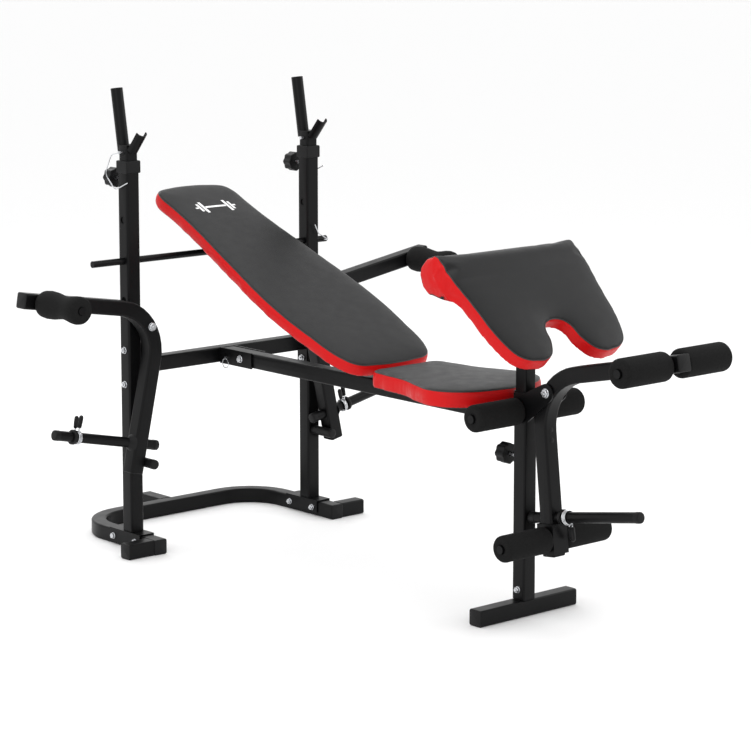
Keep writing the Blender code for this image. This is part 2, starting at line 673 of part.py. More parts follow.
def leg_developer():
    """The swinging leg tube with its plates, axles, rollers, sleeve, plate peg and pivot bolt."""
    down = Vector((-math.sin(LEG_LEAN), -math.cos(LEG_LEAN)))
    ahead = Vector((-math.cos(CURL_RISE), math.sin(CURL_RISE)))
    bottom = LEG_CORNER + down * (LEG_CORNER.y - LEG_BOTTOM_Z) / -down.y
    reach_out = FRONT_REACH + LEG_CORNER.x - TUBE / 2 * ahead.y
    tip = LEG_CORNER + ahead * reach_out / -ahead.x
    pivot = world(LEG_PIVOT)
    tube = square_tube(fillet([bottom, LEG_CORNER, tip], LEG_BEND, 10), SIDE_PLANE, (0, RACK_Y, 0))
    reach = Vector((0.05, 0, 0))
    lower, curl = world(LOWER_AXLE), world(CURL_AXLE)
    cut(tube, cylinder(pivot - reach, pivot + reach, 0.0054, sides=16))
    for axle in (lower, curl):
        cut(tube, cylinder(axle - reach, axle + reach, AXLE_RADIUS + GAP, sides=16))
    peg_ahead = Vector((0, -math.cos(LEG_PEG_RISE), math.sin(LEG_PEG_RISE)))
    peg_at = world(LEG_PEG_AT)
    peg_back = peg_at - peg_ahead * 0.0640
    cut(tube, cylinder(peg_back, peg_at + peg_ahead * 0.1, PEG_RADIUS + GAP))
    named(tube, "leg_tube", STEEL)
    peg = named(cylinder(peg_back, peg_at + peg_ahead * LEG_PEG_TIP, PEG_RADIUS), "leg_peg", STEEL)

    lean_plane = Matrix((Vector((1, 0, 0)), Vector((0, -down.x, -down.y)),
                         Vector((1, 0, 0)).cross(Vector((0, -down.x, -down.y))))).transposed()
    inner, outer_x, outer_y = TUBE / 2 + GAP, 0.0228, 0.0245
    middle = world(LEG_CORNER + down * (LEG_CORNER.y - LOWER_AXLE.y) / -down.y)
    sleeve = plate([(-outer_x, -0.034), (outer_x, -0.034), (outer_x, 0.034), (-outer_x, 0.034)],
                   2 * outer_y, lean_plane, middle)
    cut(sleeve, plate([(-inner, -0.05), (inner, -0.05), (inner, 0.05), (-inner, 0.05)],
                      2 * inner, lean_plane, middle),
        cylinder(lower - reach, lower + reach, AXLE_RADIUS + GAP, sides=16),
        cylinder(peg_back - peg_ahead * 0.02, peg_at + peg_ahead * 0.1, PEG_RADIUS + GAP))
    named(sleeve, "leg_sleeve", STEEL)

    moving = [tube, peg, sleeve]
    for name, axle, start, radius in (("lower", lower, 0.0240, 0.0300), ("curl", curl, 0.0205, 0.0322)):
        bar = cylinder(axle - Vector((0.166, 0, 0)), axle + Vector((0.166, 0, 0)), AXLE_RADIUS, sides=16)
        moving.append(named(bar, f"{name}_axle", STEEL))
        for side, sign in SIDES:
            roller(f"{side}_{name}_roller", axle, start, 0.1620, radius, sign)
    joint_empty("leg_developer_axis", pivot, *moving)

    post_y = RACK_Y + POST_Y
    outline = ([(post_y + 0.014, 0.449), (post_y + 0.014, 0.510), (post_y - 0.020, 0.513)]
               + arc((pivot.y, pivot.z), 0.0210, 60, 230, 8) + [(post_y - 0.030, 0.449)])
    for side, sign in SIDES:
        ear = plate(outline, STRAP, SIDE_PLANE, (sign * (TUBE / 2 + GAP + STRAP / 2), 0, 0))
        cut(ear, cylinder(pivot - reach, pivot + reach, 0.0052, sides=16))
        named(ear, f"{side}_pivot_plate", STEEL)
    named(bolt(pivot, (-1, 0, 0), TUBE / 2 + GAP + STRAP), "leg_pivot_bolt", ZINC)


# ---------------------------------------------------------------- swing arms
def arm_grip(name, start, length):
    """A waisted foam grip on a stub along -Y."""
    stations = [(0.030, 0.0), (0.0335, 0.16), (0.0315, 0.34), (0.0270, 0.56), (0.0310, 0.76),
                (0.0335, 0.88), (0.0300, 1.0)]
    bore = AXLE_RADIUS + 0.0006
    outside = [(r, length * s) for r, s in reversed(stations)]
    profile = [(bore, length)] + outside + [(bore, 0.0), (bore, length)]
    return named(turned(profile, start, (0, -1, 0), sides=20), name, FOAM)


def swing_arms():
    """The butterfly arms: bent tubes on pivots at the uprights, with grips, plate pegs and stops."""
    for side, sign in SIDES:
        down = Vector((math.sin(ARM_LEAN), -math.cos(ARM_LEAN)))
        outward = Vector((math.cos(ARM_RISE), math.sin(ARM_RISE)))
        bottom = ARM_CORNER + down * (ARM_CORNER.y - ARM_BOTTOM_Z) / -down.y
        end = ARM_CORNER + outward * (ARM_END_X - ARM_CORNER.x) / outward.x
        path = [(sign * x, z) for x, z in fillet([bottom, ARM_CORNER, end], ARM_BEND, 10)]
        y = RACK_Y + ARM_Y
        tube = square_tube(path, FRONT_PLANE, (0, y, 0))
        pivot = Vector((sign * ARM_PIVOT.x, y, ARM_PIVOT.y))
        cut(tube, cylinder(pivot - Vector((0, 0.04, 0)), pivot + Vector((0, 0.04, 0)), 0.0054, sides=16))
        peg_out = Vector((sign * math.cos(ARM_LEAN), 0, math.sin(ARM_LEAN)))
        peg_at = Vector((sign * ARM_PEG_AT.x, y, ARM_PEG_AT.y))
        weld(tube, cylinder(peg_at - peg_out * ARM_PEG_INNER, peg_at + peg_out * ARM_PEG_OUTER, PEG_RADIUS))
        front = RACK_Y + GRIP_START
        grip_at = Vector((sign * GRIP_X, front, GRIP_Z))
        tip = grip_at - Vector((0, GRIP_LENGTH + 0.003, 0))
        weld(tube, cylinder(grip_at + Vector((0, 0.010, 0)), tip, AXLE_RADIUS, sides=16))
        named(tube, f"{side}_arm", STEEL)
        grip = arm_grip(f"{side}_arm_grip", grip_at, GRIP_LENGTH)
        joint_empty(f"{side}_arm_axis", pivot, tube)
        joint_empty(f"{side}_arm_grip_axis", grip_at, grip)

        half = TUBE / 2
        profile = [(0, half + 0.0070), (0.0085, half + 0.0070), (0.0095, half + 0.0058), (0.0095, half + GAP),
                   (0.0050, half + GAP), (0.0050, -half - GAP), (0.0110, -half - GAP),
                   (0.0110, ARM_Y + GAP), (0, ARM_Y + GAP)]
        named(turned(profile, pivot, (0, -1, 0), sides=16), f"{side}_arm_pivot", ZINC)
        stop = Vector((sign * UPRIGHT_X, RACK_Y - GAP, 0.222))
        named(cylinder(stop, stop - Vector((0, 0.074, 0)), 0.0118), f"{side}_arm_stop", PLASTIC)


# ---------------------------------------------------------------- spring collars
def spring_collar(name, centre, axis, handle_up):
    """A spring collar on a plate peg: a few turns of wire with two upright ends."""
    axis = Vector(axis).normalized()
    up = (Vector(handle_up) - axis * axis.dot(Vector(handle_up))).normalized()
    side = axis.cross(up)
    radius, thick, turns, steps, pitch = 0.0160, 0.0016, 3, 14, 0.0036
    coil = []
    for i in range(turns * steps + 1):
        angle = 2 * math.pi * (i / steps) + math.radians(20)
        along = pitch * (i / steps - turns / 2)
        coil.append(centre + axis * along + (up * math.cos(angle) + side * math.sin(angle)) * radius)
    first, last = [at + up * 0.030 + (axis * 0.010 - side * 0.012) * sign
                   for at, sign in ((coil[0], -1), (coil[-1], 1))]
    made = wire([first] + coil + [last], thick)
    named(made, name, ZINC)
    joint_empty(f"{name}_axis", centre, made)


def spring_collars():
    y = RACK_Y + ARM_Y
    for side, sign, distance in (("left", -1, 0.184), ("right", 1, 0.050)):
        out = Vector((sign * math.cos(ARM_LEAN), 0, math.sin(ARM_LEAN)))
        centre = Vector((sign * ARM_PEG_AT.x, y, ARM_PEG_AT.y)) + out * distance
        spring_collar(f"{side}_spring_collar", centre, out, (0, 0, 1))
    ahead = Vector((0, -math.cos(LEG_PEG_RISE), math.sin(LEG_PEG_RISE)))
    spring_collar("leg_spring_collar", world(LEG_PEG_AT) + ahead * 0.052, ahead, (0, 0, -1))


base()
saddles()
uprights()
crossbar()
rod_and_clip()
catches()
bench_frame()
backrest()
seat()
preacher()
post_rollers()
leg_developer()
swing_arms()
spring_collars()
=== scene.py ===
"""The looks of the adjustable weight bench, built around its CAD frame."""

import json
import math

import bmesh
import bpy
from mathutils import Matrix, Vector
from mathutils.bvhtree import BVHTree


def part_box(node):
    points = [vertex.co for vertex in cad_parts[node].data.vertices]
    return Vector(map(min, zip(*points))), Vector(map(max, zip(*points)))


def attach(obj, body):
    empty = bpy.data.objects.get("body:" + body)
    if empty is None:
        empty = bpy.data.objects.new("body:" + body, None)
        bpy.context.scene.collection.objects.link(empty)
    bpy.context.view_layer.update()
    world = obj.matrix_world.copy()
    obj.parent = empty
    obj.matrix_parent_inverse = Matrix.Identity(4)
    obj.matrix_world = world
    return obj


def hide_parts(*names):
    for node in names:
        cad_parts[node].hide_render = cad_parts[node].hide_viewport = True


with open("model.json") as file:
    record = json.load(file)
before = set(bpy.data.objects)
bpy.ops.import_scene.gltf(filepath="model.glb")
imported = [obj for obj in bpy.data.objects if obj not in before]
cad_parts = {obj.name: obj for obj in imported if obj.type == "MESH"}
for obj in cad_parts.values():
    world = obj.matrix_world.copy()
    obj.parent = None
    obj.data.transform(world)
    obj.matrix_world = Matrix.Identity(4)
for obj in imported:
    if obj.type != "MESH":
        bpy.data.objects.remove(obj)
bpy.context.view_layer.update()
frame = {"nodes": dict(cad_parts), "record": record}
NODES = frame["nodes"]

# ---------------------------------------------------------------- dimensions shared with the CAD (metres)
TUBE = 0.038
RACK_Y = 0.596                                       # world Y of the uprights' front faces
UPRIGHT_X = 0.2846
RAIL_Z = 0.4545
BACK_ANGLE = math.radians(23.6)
PREACHER_ANGLE = math.radians(43.3)
ARM_LEAN = math.radians(12.3)
LEG_LEAN = math.radians(6.4)
LEG_PEG_RISE = math.radians(10.0)
PEG_RADIUS = 0.0125
CURL_RISE = math.radians(12.3)
ARM_RISE = math.radians(9.4)
FOOT_FRONT_Y = RACK_Y - 0.0917                       # front faces of the rack's feet
FOOT_END_X = 0.3754
REAR_FOOT_END_Y = RACK_Y + 0.353
POST_Y = RACK_Y - 1.0708                             # centre of the front post and its foot
FRONT_FOOT_HALF = 0.149
POST_FACE_Y = RACK_Y - 1.0518                        # the post's face under the seat
CATCH_KNOB_Z, POST_KNOB_Z = 0.916, 0.363
CROSSBAR_BOLTS_Z = (0.496, 0.411)
SADDLE_BOLTS_Y = (RACK_Y + 0.073, RACK_Y - 0.017)
RAIL_BOLT_Y = RACK_Y - 0.082
STOP_TIP = (RACK_Y - 0.0743, 0.222)                  # (y, z) of the arm stops' free ends
LEG_CORNER = Vector((0, RACK_Y - 1.1215, 0.5475))    # where the leg tube's two straights would meet
LEG_PIVOT = (RACK_Y - 1.1575, 0.5225)                # (y, z)
LEG_BOTTOM_Z = 0.156
LEG_SLEEVE_BOLT = (RACK_Y - 1.1530, 0.2120)          # (y, z)
LEG_PLUGS_Z = (0.435, 0.412)
FRONT_REACH = 1.545                                  # from the uprights to the end of the curl tube
LEG_PEG_ROOT = Vector((0, RACK_Y - 1.1560, 0.2395))
LEG_PEG_TIP, LEG_PEG_BACK = 0.273, 0.064             # how far the leg's peg reaches from its root
LEG_COLLAR_AT = 0.052                                # how far along its peg a spring collar stands
ARM_Y = RACK_Y - 0.033                               # centre plane of the swing arms
ARM_KNEE = (0.2366, 0.5933)                          # (x, z) where an arm's two straights would meet
ARM_PIVOT = (0.2725, 0.560)                          # (x, z)
ARM_END_X, ARM_BOTTOM_Z = 0.636, 0.203
ARM_PEG_ROOT = (0.3055, 0.2720)                      # (x, z)
ARM_PEG_OUTER, ARM_PEG_INNER = 0.252, 0.057
ARM_COLLAR_AT = {"left": 0.184, "right": 0.050}
LEG_DOWN = Vector((0, -math.sin(LEG_LEAN), -math.cos(LEG_LEAN)))
LEG_PEG_AHEAD = Vector((0, -math.cos(LEG_PEG_RISE), math.sin(LEG_PEG_RISE)))
SIDES = (("left", -1), ("right", 1))


# ---------------------------------------------------------------- camera
def camera():
    """Looks at the bench from its left front corner, a little from above."""
    view = bpy.data.objects.new("camera", bpy.data.cameras.new("camera"))
    bpy.context.scene.collection.objects.link(view)
    view.location = (-4.1711, -4.7134, 1.6436)
    heading, pitch = math.radians(48.674), math.radians(8.878)
    level = math.cos(pitch)
    ahead = Vector((math.cos(heading) * level, math.sin(heading) * level, -math.sin(pitch)))
    view.rotation_mode = "QUATERNION"
    view.rotation_quaternion = ahead.to_track_quat("-Z", "Y")
    view.data.lens = 130.27
    view.data.shift_y = -0.10
    view.data.clip_end = 200
    bpy.context.scene.camera = view


camera()


# ---------------------------------------------------------------- materials
def surface(name, colour, roughness, metallic=0.0, grain=0.0, grain_size=900.0, speckle=0.0, mottle=0.0,
            cells=False, gloss=0.5):
    """A Principled material with a fine procedural grain, and uneven roughness or colour where asked."""
    made = bpy.data.materials.new(name)
    made.use_nodes = True
    tree = made.node_tree
    shader = tree.nodes["Principled BSDF"]
    shader.inputs["Base Color"].default_value = (*colour, 1)
    shader.inputs["Roughness"].default_value = roughness
    shader.inputs["Metallic"].default_value = metallic
    shader.inputs["Specular IOR Level"].default_value = gloss
    where = tree.nodes.new("ShaderNodeTexCoord").outputs["Object"]

    def noise(scale, detail=2.0):
        node = tree.nodes.new("ShaderNodeTexNoise")
        node.inputs["Scale"].default_value = scale
        node.inputs["Detail"].default_value = detail
        tree.links.new(where, node.inputs["Vector"])
        return node.outputs["Fac"]

    def ramp(value, low, high, start=0.3, end=0.7):
        node = tree.nodes.new("ShaderNodeMapRange")
        node.inputs["From Min"].default_value = start
        node.inputs["From Max"].default_value = end
        node.inputs["To Min"].default_value = low
        node.inputs["To Max"].default_value = high
        tree.links.new(value, node.inputs["Value"])
        return node.outputs["Result"]

    if mottle:
        uneven = ramp(noise(34.0, 4.0), roughness - mottle, roughness + mottle)
        tree.links.new(uneven, shader.inputs["Roughness"])
    if speckle:
        blend = tree.nodes.new("ShaderNodeMix")
        blend.data_type = "RGBA"
        blend.inputs[6].default_value = (*[c * (1 - speckle) for c in colour], 1)
        blend.inputs[7].default_value = (*[min(1, c * (1 + speckle)) for c in colour], 1)
        tree.links.new(ramp(noise(grain_size * 0.8), 0, 1), blend.inputs[0])
        tree.links.new(blend.outputs[2], shader.inputs["Base Color"])
    if grain:
        bump = tree.nodes.new("ShaderNodeBump")
        bump.inputs["Strength"].default_value = grain
        bump.inputs["Distance"].default_value = 0.0005
        if cells:
            source = tree.nodes.new("ShaderNodeTexVoronoi")
            source.feature = "DISTANCE_TO_EDGE"
            source.inputs["Scale"].default_value = grain_size
            tree.links.new(where, source.inputs["Vector"])
            height = ramp(source.outputs["Distance"], 0, 1, 0.0, 0.35)
        else:
            height = noise(grain_size, 3.0)
        tree.links.new(height, bump.inputs["Height"])
        tree.links.new(bump.outputs["Normal"], shader.inputs["Normal"])
    return made


STEEL = surface("black_powder_coat", (0.0030, 0.0030, 0.0033), 0.36, grain=0.10, grain_size=700,
                mottle=0.04, gloss=0.14)
ZINC = surface("bright_zinc", (0.60, 0.61, 0.63), 0.27, metallic=1.0, grain=0.08, grain_size=400, mottle=0.08)
PLASTIC = surface("black_plastic", (0.0060, 0.0060, 0.0064), 0.48, grain=0.12, grain_size=1200,
                  mottle=0.05, gloss=0.18)
FOAM = surface("black_foam", (0.0090, 0.0090, 0.0090), 0.93, grain=0.75, grain_size=620, speckle=0.35,
               gloss=0.12)
BLACK_VINYL = surface("black_vinyl", (0.0125, 0.0125, 0.0130), 0.40, grain=0.16, grain_size=620,
                      mottle=0.04, cells=True, gloss=0.15)
RED_VINYL = surface("red_vinyl", (0.53, 0.0040, 0.0050), 0.42, grain=0.12, grain_size=620, mottle=0.04,
                    cells=True, gloss=0.16)
BACKING = surface("black_backing", (0.012, 0.012, 0.012), 0.88, grain=0.35, grain_size=500)
PIPING = surface("seam_piping", (0.010, 0.009, 0.009), 0.48, grain=0.1, grain_size=900)
PRINT = surface("white_print", (0.80, 0.80, 0.80), 0.45, grain=0.10, grain_size=620)
LOOKS = {"steel": STEEL, "zinc": ZINC, "plastic": PLASTIC, "foam": FOAM, "vinyl": BLACK_VINYL}


def soften(mesh, limit=35):
    """Blends the normals over gentle edges, where large faces count most, and keeps sharp edges crisp."""
    points = [tuple(round(c * 20000) for c in vert.co) for vert in mesh.vertices]
    around = {}
    for polygon in mesh.polygons:
        corners = [mesh.vertices[i].co for i in polygon.vertices]
        for i, vertex in enumerate(polygon.vertices):
            to_next, to_last = corners[(i + 1) % len(corners)] - corners[i], corners[i - 1] - corners[i]
            if to_next.length * to_last.length > 0:
                share = polygon.area * to_next.angle(to_last)
                around.setdefault(points[vertex], []).append((polygon.normal.copy(), share))
    normals = []
    for polygon in mesh.polygons:
        for vertex in polygon.vertices:
            total = Vector()
            for normal, share in around.get(points[vertex], []):
                if normal.dot(polygon.normal) > math.cos(math.radians(limit)):
                    total += normal * share
            normals.append(total.normalized() if total.length > 0 else polygon.normal.copy())
    mesh.shade_smooth()
    mesh.normals_split_custom_set(normals)


def carried_over():
    """Every CAD node gets its slot's material and smooth shading with crisp edges."""
    for entry in frame["record"]["subparts"]:
        node = NODES[entry["node"]]
        node.data.materials.clear()
        node.data.materials.append(LOOKS[entry["material_slot"]])
        soften(node.data)


carried_over()


# ---------------------------------------------------------------- mesh helpers
def new_object(name, mesh):
    made = bpy.data.objects.new(name, mesh)
    bpy.context.scene.collection.objects.link(made)
    return made


def from_bmesh(name, bm, *looks, smooth=40):
    mesh = bpy.data.meshes.new(name)
    bm.to_mesh(mesh)
    bm.free()
    for look in looks:
        mesh.materials.append(look)
    mesh.shade_smooth()
    if smooth:
        mesh.set_sharp_from_angle(angle=math.radians(smooth))
    return new_object(name, mesh)


def turn_to(direction):
    return Vector(direction).to_track_quat("Z", "Y").to_matrix().to_4x4()


def lathe(bm, profile, start, direction, sides):
    """Adds a turned shape to bm; the profile lists (radius, distance along the axis)."""
    place = Matrix.Translation(Vector(start)) @ turn_to(direction)
    rings = []
    for radius, along in profile:
        if radius < 1e-6:
            rings.append([bm.verts.new(place @ Vector((0, 0, along)))])
            continue
        rings.append([bm.verts.new(place @ Vector((radius * math.cos(2 * math.pi * i / sides),
                                                   radius * math.sin(2 * math.pi * i / sides), along)))
                      for i in range(sides)])
    for a, b in zip(rings, rings[1:]):
        for i in range(sides):
            j = (i + 1) % sides
            if len(a) == 1 and len(b) == 1:
                continue
            if len(a) == 1:
                corners = [a[0], b[j], b[i]]
            elif len(b) == 1:
                corners = [a[i], a[j], b[0]]
            else:
                corners = [a[i], a[j], b[j], b[i]]
            bm.faces.new(corners[::-1])
    bmesh.ops.recalc_face_normals(bm, faces=bm.faces)


def closed_bead(name, points, radius, look):
    """A bead along a closed loop of 3-D points, as a mesh."""
    data = bpy.data.curves.new(name, "CURVE")
    data.dimensions = "3D"
    spline = data.splines.new("POLY")
    spline.points.add(len(points) - 1)
    for slot, point in zip(spline.points, points):
        slot.co = (*point, 1)
    spline.use_cyclic_u = True
    data.bevel_depth = radius
    data.bevel_resolution = 3
    curve = new_object(name, data)
    bpy.context.view_layer.update()
    mesh = bpy.data.meshes.new_from_object(curve.evaluated_get(bpy.context.evaluated_depsgraph_get()))
    bpy.data.objects.remove(curve)
    mesh.materials.clear()
    mesh.materials.append(look)
    mesh.shade_smooth()
    return new_object(name, mesh)


def cap_block(bm, place, half, depth, edge=0.002, corner=0.005):
    """A shallow rounded plug that closes a tube: its outer face at place, facing +Z."""
    profile = [(edge, 0.0), (edge * 0.3, -edge * 0.3), (0.0, -edge), (0.0, -depth)]
    rings = []
    for inset, z in profile:
        ring = []
        for sx, sy, start in ((1, 1, 0), (-1, 1, 90), (-1, -1, 180), (1, -1, 270)):
            for step in range(5):
                angle = math.radians(start + 22.5 * step)
                x = sx * (half - corner) + (corner - inset) * math.cos(angle)
                y = sy * (half - corner) + (corner - inset) * math.sin(angle)
                ring.append(bm.verts.new(place @ Vector((x, y, z))))
        rings.append(ring)
    for a, b in zip(rings, rings[1:]):
        for i in range(len(a)):
            j = (i + 1) % len(a)
            bm.faces.new((a[i], b[i], b[j], a[j]))
    bm.faces.new(rings[0])
    bm.faces.new(rings[-1][::-1])
    bmesh.ops.recalc_face_normals(bm, faces=bm.faces)


# ---------------------------------------------------------------- cushions
SEAM = -0.0045               # height of the seam under a cushion's top edge
PROUD = -0.0010              # the cushions start this much outside their boards' outlines
CROWN_REACH = 0.022          # how quickly a cushion's top rises from its edge
SETTLE = 0.65                # how far a puffed top is drawn to its crown
RIM = 0.0015                 # how far the top stands over the seam at its very edge


def smooth_outline(points, spacing=0.006):
    """A closed smooth curve through the points, as evenly spaced 2-D points."""
    data = bpy.data.curves.new("outline", "CURVE")
    spline = data.splines.new("BEZIER")
    spline.bezier_points.add(len(points) - 1)
    for slot, point in zip(spline.bezier_points, points):
        slot.co = (*point, 0)
        slot.handle_left_type = slot.handle_right_type = "AUTO"
    spline.use_cyclic_u = True
    spline.resolution_u = 24
    curve = new_object("outline", data)
    bpy.context.view_layer.update()
    mesh = bpy.data.meshes.new_from_object(curve.evaluated_get(bpy.context.evaluated_depsgraph_get()))
    path = [v.co.xy.copy() for v in mesh.vertices]
    bpy.data.objects.remove(curve)
    bpy.data.meshes.remove(mesh)
    path.append(path[0])
    total = sum((b - a).length for a, b in zip(path, path[1:]))
    count = round(total / spacing)
    even, at, walked = [], 0, 0.0
    for i in range(count):
        target = total * i / count
        while walked + (path[at + 1] - path[at]).length < target:
            walked += (path[at + 1] - path[at]).length
            at += 1
        step = (path[at + 1] - path[at]).length
        even.append(path[at].lerp(path[at + 1], (target - walked) / max(step, 1e-9)))
    return even


def mirrored(half):
    return list(half) + [(-x, y) for x, y in reversed(half) if abs(x) > 1e-6]


def prism(outline, top, bottom, inset=0.0):
    """A closed prism of the outline between two heights, moved in by inset, or out if that is below 0."""
    bm = bmesh.new()
    count = len(outline)
    ring = []
    for i, point in enumerate(outline):
        along = (outline[(i + 1) % count] - outline[i - 1]).normalized()
        ring.append(point + Vector((-along.y, along.x)) * inset)
    upper = [bm.verts.new((p.x, p.y, top)) for p in ring]
    lower = [bm.verts.new((p.x, p.y, bottom)) for p in ring]
    for i in range(count):
        j = (i + 1) % count
        bm.faces.new((lower[i], lower[j], upper[j], upper[i]))
    bm.faces.new(upper)
    bm.faces.new(lower[::-1])
    bmesh.ops.recalc_face_normals(bm, faces=bm.faces)
    return bm


def apply_modifiers(obj):
    bpy.context.view_layer.update()
    mesh = bpy.data.meshes.new_from_object(obj.evaluated_get(bpy.context.evaluated_depsgraph_get()))
    obj.modifiers.clear()
    obj.data = mesh


def simulate(obj, hold, cap, pressure=4.0):
    """Puffs the cushion with a cloth simulation, keeps its held points, and caps how far a point may move."""
    scene = bpy.context.scene
    group = obj.vertex_groups.new(name="held")
    group.add([v.index for v in obj.data.vertices if hold(v.co)], 1.0, "REPLACE")
    rest = [v.co.copy() for v in obj.data.vertices]
    cloth = obj.modifiers.new("puff", "CLOTH")
    cloth.settings.use_pressure = True
    cloth.settings.uniform_pressure_force = pressure
    cloth.settings.effector_weights.gravity = 0.0
    cloth.settings.vertex_group_mass = "held"
    cloth.settings.quality = 5
    cloth.settings.tension_stiffness = 22
    cloth.settings.compression_stiffness = 18
    cloth.collision_settings.use_collision = False
    cloth.point_cache.frame_start, cloth.point_cache.frame_end = 1, 20
    for number in range(1, 21):
        scene.frame_set(number)
    apply_modifiers(obj)
    scene.frame_set(1)
    for vert, home in zip(obj.data.vertices, rest):
        move = vert.co - home
        if move.length > cap:
            vert.co = home + move * (cap / move.length)


def remeshed(name, bm, voxel=0.005):
    obj = from_bmesh(name, bm, smooth=0)
    bevel = obj.modifiers.new("edges", "BEVEL")
    bevel.width, bevel.segments, bevel.limit_method = 0.005, 3, "ANGLE"
    bevel.angle_limit = math.radians(50)
    remesh = obj.modifiers.new("remesh", "REMESH")
    remesh.mode, remesh.voxel_size = "VOXEL", voxel
    apply_modifiers(obj)
    return obj


def paint(obj, choose, looks):
    obj.data.materials.clear()
    for look in looks:
        obj.data.materials.append(look)
    for polygon in obj.data.polygons:
        polygon.material_index = choose(polygon.center, polygon.normal)
    obj.data.shade_smooth()


def ruffle(outline_point, depth):
    """How far the lower edge of a side pulls in and out where the cover is stapled under the board."""
    x, y = outline_point
    wave = math.sin(61 * y + 23 * x) + 0.7 * math.sin(113 * y - 71 * x + 1.3)
    wave += 0.5 * math.sin(197 * x + 151 * y + 0.4)
    return 0.0011 * wave * depth


def pad(name, node, body, half_outline, thickness, place, crown, bulge):
    """A board cushion: black top, red band round the sides, piped seam between them, dark backing."""
    outline = smooth_outline(mirrored(half_outline))
    edge = outline_distance(outline)
    obj = remeshed(name, prism(outline, -0.0010, -thickness + 0.001, PROUD))

    def held(co):
        return co.z < -thickness + 0.005 or (abs(co.z - SEAM) < 0.0035 and edge(co) < 0.006)

    simulate(obj, held, 0.014)
    shape_pad(obj, edge, thickness, crown, bulge)
    finish_pad(obj, node, body, thickness, place)
    return obj


def outline_distance(outline):
    """Distance from a point to the outline, by a search tree over its segments."""
    bm = bmesh.new()
    verts = [(bm.verts.new((p.x, p.y, -0.2)), bm.verts.new((p.x, p.y, 0.2))) for p in outline]
    for i in range(len(verts)):
        a, b = verts[i - 1], verts[i]
        bm.faces.new((a[0], b[0], b[1], a[1]))
    tree = BVHTree.FromBMesh(bm)
    bm.free()
    return lambda co: tree.find_nearest(Vector((co.x, co.y, 0)))[3]


def shape_pad(obj, edge, thickness, crown, bulge):
    """Gives the top its crown, the sides their bulge and ruffled lower edge, and pinches the seam."""
    middle = (SEAM - thickness) / 2
    for vert in obj.data.vertices:
        co = vert.co
        inside = edge(co)
        if co.z > SEAM:
            limit = SEAM + RIM + crown * (1 - math.exp(-inside / CROWN_REACH))
            co.z += (limit - co.z) * SETTLE
        elif inside < 0.012:
            depth = (SEAM - co.z) / (thickness + SEAM)
            push = bulge * (1 - min(1, abs(co.z - middle) / (thickness / 2)) ** 2)
            push += ruffle(co.xy, max(0, depth - 0.35) * 1.6)
            co.x += vert.normal.x * push
            co.y += vert.normal.y * push
        pinch = max(0, 1 - abs(co.z - SEAM) / 0.0045)
        if inside < 0.010:
            co.x -= vert.normal.x * 0.0016 * pinch
            co.y -= vert.normal.y * 0.0016 * pinch


def finish_pad(obj, node, body, thickness, place):
    """Cuts the seam line, paints the panels, rides the body and adds the piping."""
    subdivide = obj.modifiers.new("subdivision", "SUBSURF")
    subdivide.levels = subdivide.render_levels = 1
    apply_modifiers(obj)
    bm = bmesh.new()
    bm.from_mesh(obj.data)
    geometry = bm.verts[:] + bm.edges[:] + bm.faces[:]
    cut = bmesh.ops.bisect_plane(bm, geom=geometry, plane_co=(0, 0, SEAM), plane_no=(0, 0, 1))
    border = [e for e in cut["geom_cut"] if isinstance(e, bmesh.types.BMEdge)]
    loops = ordered_loops(border)
    bm.to_mesh(obj.data)
    bm.free()
    floor = -thickness + 0.006
    paint(obj, lambda c, n: 0 if c.z > SEAM else (2 if n.z < -0.6 and c.z < floor else 1),
          (BLACK_VINYL, RED_VINYL, BACKING))
    obj.matrix_world = place
    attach(obj, body)
    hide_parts(node)
    for number, loop in enumerate(loops):
        bead = closed_bead(f"{obj.name}_seam_{number}", [place @ p for p in loop], 0.0011, PIPING)
        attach(bead, body)


def ordered_loops(edges):
    """The points of each closed loop that the edges make, longest first, thinned a little."""
    links = {}
    for edge in edges:
        a, b = edge.verts
        links.setdefault(a, []).append(b)
        links.setdefault(b, []).append(a)
    loops, seen = [], set()
    for start in links:
        if start in seen:
            continue
        loop, at, last = [], start, None
        while at is not None and at not in seen:
            seen.add(at)
            loop.append(at.co.copy())
            following = [v for v in links[at] if v is not last and v not in seen]
            last, at = at, following[0] if following else None
        if len(loop) > 60:
            count = len(loop)
            smooth = [sum((loop[(i + k) % count] for k in range(-3, 4)), Vector()) / 7 for i in range(count)]
            loops.append(smooth[::3])
    return sorted(loops, key=len, reverse=True)


def slope(angle, y, z):
    """Place of a sloping pad: its X is world X, its Y runs up the slope and its Z stands off the pad."""
    return Matrix.Translation((0, RACK_Y + y, z)) @ Matrix.Rotation(angle, 4, "X")


BACK_HALF = [(0.062, 0.002), (0.108, 0.012), (0.129, 0.040), (0.149, 0.150), (0.1565, 0.290), (0.138, 0.500),
             (0.120, 0.670), (0.1155, 0.770), (0.1155, 0.822), (0.104, 0.850), (0.078, 0.860)]
SEAT_HALF = [(0.060, -1.022), (0.130, -0.985), (0.157, -0.930), (0.142, -0.865), (0.119, -0.800),
             (0.109, -0.720), (0.096, -0.672), (0.040, -0.667)]
BACK_PLACE = slope(BACK_ANGLE, -0.640, 0.5228)
backrest = pad("backrest_cushion", "backrest_pad", "backrest", BACK_HALF, 0.0365, BACK_PLACE, 0.0075, 0.0022)
pad("seat_cushion", "seat_pad", "bench_frame", SEAT_HALF, 0.0435, slope(0, 0, 0.518), 0.0080, 0.0028)


ROLL_HALF = 0.2105           # half the width of the arm-curl pad's roll
ROLL_BORDER = 0.2065         # half the width of the black wrap round the roll; its ends outside it are red


